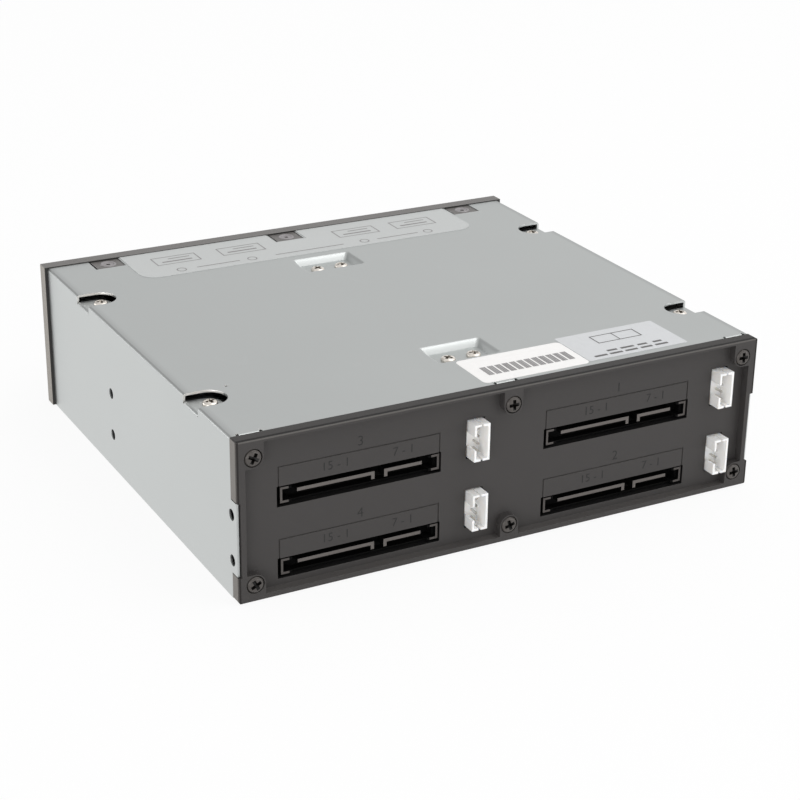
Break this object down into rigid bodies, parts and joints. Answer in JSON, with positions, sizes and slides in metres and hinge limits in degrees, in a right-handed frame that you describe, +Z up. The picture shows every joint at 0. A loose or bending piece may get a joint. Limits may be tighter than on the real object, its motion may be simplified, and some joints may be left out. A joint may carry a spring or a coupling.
{
  "type": "hot-swap drive rack",
  "caption": "Half-height 5.25-inch bay rack with removable trays for 2.5-inch drives, hinged handles, release buttons, a bent steel cover and a rear panel of plugs and headers",
  "frame": {"origin": "middle of the rack's footprint, on the surface that it rests on", "axes": "X across the rack, Y from the front bezel to the rear panel, Z up"},
  "size_m": [0.1478, 0.137, 0.0416],
  "materials": {
    "zinc_steel": "zinc-plated sheet, satin",
    "inner_steel": "zinc-plated sheet, satin",
    "nickel": "nickel-plated screw",
    "panel_black": "fine spark-eroded moulding",
    "bezel_black": "fine spark-eroded moulding",
    "tray_black": "fine spark-eroded moulding",
    "lever_black": "satin moulding",
    "button_grey": "satin moulding",
    "black_screw": "black oxide",
    "board_green": "solder resist",
    "connector_black": "moulded",
    "header_white": "natural nylon",
    "pin_tin": "tin-plated",
    "label_film": "printed film",
    "light_clear": "clear moulding",
    "spring_steel": "spring strip"
  },
  "bodies": {
    "chassis": {"steel_cover": "zinc_steel", "floor_pan": "inner_steel", "bay_channel_left": "inner_steel", "bay_channel_right": "inner_steel", "lower_divider": "inner_steel", "cover_screws": "nickel", "pocket_screws": "nickel", "rear_panel": "panel_black", "rear_screws": "black_screw", "backplane_board": "board_green", "board_screws": "nickel", "header_pins": "pin_tin", "front_bezel": "bezel_black", "barcode_label": "label_film", "rating_label": "label_film", "guide_label": "label_film", "drive_connector_1": "connector_black", "signal_header_1": "header_white", "drive_connector_2": "connector_black", "signal_header_2": "header_white", "drive_connector_3": "connector_black", "signal_header_3": "header_white", "drive_connector_4": "connector_black", "signal_header_4": "header_white"},
    "tray_1": {"tray_pan_1": "inner_steel", "tray_front_1": "tray_black", "tray_screws_1": "nickel", "lever_pin_1": "nickel", "light_guide_1": "light_clear", "button_spring_1": "spring_steel"},
    "handle_1": {"lever_1": "lever_black"},
    "button_1": {"release_button_1": "button_grey"},
    "tray_2": {"tray_pan_2": "inner_steel", "tray_front_2": "tray_black", "tray_screws_2": "nickel", "lever_pin_2": "nickel", "light_guide_2": "light_clear", "button_spring_2": "spring_steel"},
    "handle_2": {"lever_2": "lever_black"},
    "button_2": {"release_button_2": "button_grey"},
    "tray_3": {"tray_pan_3": "inner_steel", "tray_front_3": "tray_black", "tray_screws_3": "nickel", "lever_pin_3": "nickel", "light_guide_3": "light_clear", "button_spring_3": "spring_steel"},
    "handle_3": {"lever_3": "lever_black"},
    "button_3": {"release_button_3": "button_grey"},
    "tray_4": {"tray_pan_4": "inner_steel", "tray_front_4": "tray_black", "tray_screws_4": "nickel", "lever_pin_4": "nickel", "light_guide_4": "light_clear", "button_spring_4": "spring_steel"},
    "handle_4": {"lever_4": "lever_black"},
    "button_4": {"release_button_4": "button_grey"}
  },
  "joints": [
    {"name": "tray_1_slide", "type": "slide", "parent": "chassis", "child": "tray_1", "axis": [0, -1, 0], "range_m": [0, 0.125]},
    {"name": "handle_1_swing", "type": "hinge", "parent": "tray_1", "child": "handle_1", "pos_m": [-0.06815, -0.0662, 0.02825], "axis": [0, 0, -1], "range_deg": [0, 75]},
    {"name": "button_1_press", "type": "slide", "parent": "tray_1", "child": "button_1", "axis": [0, 1, 0], "range_m": [0, 0.0015], "stiffness_N_per_m": 800, "springref_m": -0.0005, "deforming": ["button_spring_1"]},
    {"name": "tray_2_slide", "type": "slide", "parent": "chassis", "child": "tray_2", "axis": [0, -1, 0], "range_m": [0, 0.125]},
    {"name": "handle_2_swing", "type": "hinge", "parent": "tray_2", "child": "handle_2", "pos_m": [-0.06815, -0.0662, 0.0095], "axis": [0, 0, -1], "range_deg": [0, 75]},
    {"name": "button_2_press", "type": "slide", "parent": "tray_2", "child": "button_2", "axis": [0, 1, 0], "range_m": [0, 0.0015], "stiffness_N_per_m": 800, "springref_m": -0.0005, "deforming": ["button_spring_2"]},
    {"name": "tray_3_slide", "type": "slide", "parent": "chassis", "child": "tray_3", "axis": [0, -1, 0], "range_m": [0, 0.125]},
    {"name": "handle_3_swing", "type": "hinge", "parent": "tray_3", "child": "handle_3", "pos_m": [0.00445, -0.0662, 0.02825], "axis": [0, 0, -1], "range_deg": [0, 75]},
    {"name": "button_3_press", "type": "slide", "parent": "tray_3", "child": "button_3", "axis": [0, 1, 0], "range_m": [0, 0.0015], "stiffness_N_per_m": 800, "springref_m": -0.0005, "deforming": ["button_spring_3"]},
    {"name": "tray_4_slide", "type": "slide", "parent": "chassis", "child": "tray_4", "axis": [0, -1, 0], "range_m": [0, 0.125]},
    {"name": "handle_4_swing", "type": "hinge", "parent": "tray_4", "child": "handle_4", "pos_m": [0.00445, -0.0662, 0.0095], "axis": [0, 0, -1], "range_deg": [0, 75]},
    {"name": "button_4_press", "type": "slide", "parent": "tray_4", "child": "button_4", "axis": [0, 1, 0], "range_m": [0, 0.0015], "stiffness_N_per_m": 800, "springref_m": -0.0005, "deforming": ["button_spring_4"]}
  ]
}
